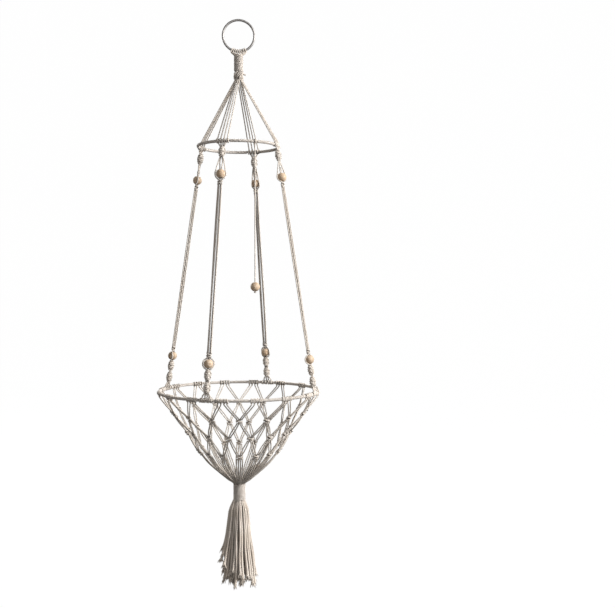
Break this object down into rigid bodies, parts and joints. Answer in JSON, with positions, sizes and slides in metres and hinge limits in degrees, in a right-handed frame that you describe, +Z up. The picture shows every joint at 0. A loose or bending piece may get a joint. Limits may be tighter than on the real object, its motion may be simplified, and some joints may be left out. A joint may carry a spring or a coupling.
{
  "type": "hanging macrame planter",
  "caption": "Hanging cotton planter: a metal ring, a wrapped neck, covered hoops, knotted legs with wooden beads, a net basket and a tassel.",
  "frame": {"origin": "the point where a hook bears, at the inner top of the metal ring", "axes": "+Z up, +Y away from the front, +X to the right seen from the front; the metal ring lies in the XZ plane"},
  "size_m": [0.2856, 0.2856, 1.0002],
  "materials": {
    "ring_metal": "satin steel wire",
    "hoop_wire": "painted wire, hidden under cotton",
    "cotton_cord": "undyed twisted cotton cord",
    "cotton_knot": "undyed twisted cotton cord, knotted",
    "cotton_wrap": "undyed twisted cotton cord, wound",
    "cotton_fringe": "loose ends of twisted cotton cord",
    "bead_wood": "plain natural wood, lightly sanded"
  },
  "bodies": {
    "ring": {"top_ring": "ring_metal"},
    "hanger": {"top_loops": "cotton_cord", "neck_core": "cotton_cord", "neck_wrap": "cotton_wrap", "neck_knot": "cotton_knot", "front_crown_cords": "cotton_cord", "right_crown_cords": "cotton_cord", "rear_crown_cords": "cotton_cord", "left_crown_cords": "cotton_cord"},
    "spreader": {"upper_ring": "hoop_wire", "upper_ring_wrap": "cotton_wrap", "upper_hitches": "cotton_cord", "front_upper_berry": "cotton_knot", "right_upper_berry": "cotton_knot", "rear_upper_berry": "cotton_knot", "left_upper_berry": "cotton_knot", "upper_cage_cords": "cotton_cord", "upper_core_cords": "cotton_cord", "upper_knots": "cotton_knot", "front_leg_cords": "cotton_cord", "right_leg_cords": "cotton_cord", "rear_leg_cords": "cotton_cord", "left_leg_cords": "cotton_cord"},
    "basket": {"lower_knots": "cotton_knot", "lower_cage_cords": "cotton_cord", "lower_core_cords": "cotton_cord", "front_foot_berries": "cotton_knot", "right_foot_berries": "cotton_knot", "rear_foot_berries": "cotton_knot", "left_foot_berries": "cotton_knot", "leg_hitches": "cotton_cord", "basket_ring": "hoop_wire", "basket_ring_wrap": "cotton_wrap", "net_hitches": "cotton_cord", "net_cords_1": "cotton_cord", "net_knots_1": "cotton_knot", "net_cords_2": "cotton_cord", "net_knots_2": "cotton_knot", "net_cords_3": "cotton_cord", "net_knots_3": "cotton_knot", "gathered_cords": "cotton_cord", "bottom_core": "cotton_cord", "bottom_wrap": "cotton_wrap"},
    "tassel": {"tassel": "cotton_fringe"},
    "toy": {"toy_hitch": "cotton_cord", "toy_cord": "cotton_cord", "toy_knot": "cotton_knot"},
    "toy_bead": {"toy_bead": "bead_wood"},
    "front_upper_bead": {"front_upper_bead": "bead_wood"},
    "front_lower_bead": {"front_lower_bead": "bead_wood"},
    "right_upper_bead": {"right_upper_bead": "bead_wood"},
    "right_lower_bead": {"right_lower_bead": "bead_wood"},
    "rear_upper_bead": {"rear_upper_bead": "bead_wood"},
    "rear_lower_bead": {"rear_lower_bead": "bead_wood"},
    "left_upper_bead": {"left_upper_bead": "bead_wood"},
    "left_lower_bead": {"left_lower_bead": "bead_wood"}
  },
  "joints": [
    {"name": "hanger_swing", "type": "hinge", "parent": "ring", "child": "hanger", "pos_m": [0, 0, -0.0512], "axis": [1, 0, 0], "range_deg": [-20, 20]},
    {"name": "spreader_lift", "type": "slide", "parent": "hanger", "child": "spreader", "axis": [0, 0, 1], "range_m": [0, 0.085], "deforming": ["front_crown_cords", "right_crown_cords", "rear_crown_cords", "left_crown_cords"]},
    {"name": "basket_lift", "type": "slide", "parent": "spreader", "child": "basket", "axis": [0, 0, 1], "range_m": [0, 0.16], "deforming": ["front_leg_cords", "right_leg_cords", "rear_leg_cords", "left_leg_cords"]},
    {"name": "tassel_sway", "type": "hinge", "parent": "basket", "child": "tassel", "pos_m": [0, 0, -0.8447], "axis": [0, 1, 0], "range_deg": [-20, 20]},
    {"name": "toy_swing", "type": "hinge", "parent": "spreader", "child": "toy", "pos_m": [0.02717, -0.0656, -0.219], "axis": [0.9239, 0.3827, 0], "range_deg": [-25, 25]},
    {"name": "toy_bead_spin", "type": "hinge", "parent": "toy", "child": "toy_bead", "pos_m": [0.02717, -0.0656, -0.464], "axis": [0, 0, 1], "continuous": true},
    {"name": "front_upper_bead_spin", "type": "hinge", "parent": "spreader", "child": "front_upper_bead", "pos_m": [-0.03063, -0.07394, -0.27528], "axis": [-0.0606, -0.1464, -0.9874], "continuous": true},
    {"name": "right_upper_bead_spin", "type": "hinge", "parent": "spreader", "child": "right_upper_bead", "pos_m": [0.07394, -0.03063, -0.27528], "axis": [0.1464, -0.0606, -0.9874], "continuous": true},
    {"name": "rear_upper_bead_spin", "type": "hinge", "parent": "spreader", "child": "rear_upper_bead", "pos_m": [0.03063, 0.07394, -0.27528], "axis": [0.0606, 0.1464, -0.9874], "continuous": true},
    {"name": "left_upper_bead_spin", "type": "hinge", "parent": "spreader", "child": "left_upper_bead", "pos_m": [-0.07394, 0.03063, -0.27528], "axis": [-0.1464, 0.0606, -0.9874], "continuous": true},
    {"name": "front_lower_bead_spin", "type": "hinge", "parent": "basket", "child": "front_lower_bead", "pos_m": [-0.04997, -0.12063, -0.59025], "axis": [-0.0606, -0.1464, -0.9874], "continuous": true},
    {"name": "right_lower_bead_spin", "type": "hinge", "parent": "basket", "child": "right_lower_bead", "pos_m": [0.12063, -0.04997, -0.59025], "axis": [0.1464, -0.0606, -0.9874], "continuous": true},
    {"name": "rear_lower_bead_spin", "type": "hinge", "parent": "basket", "child": "rear_lower_bead", "pos_m": [0.04997, 0.12063, -0.59025], "axis": [0.0606, 0.1464, -0.9874], "continuous": true},
    {"name": "left_lower_bead_spin", "type": "hinge", "parent": "basket", "child": "left_lower_bead", "pos_m": [-0.12063, 0.04997, -0.59025], "axis": [-0.1464, 0.0606, -0.9874], "continuous": true}
  ]
}
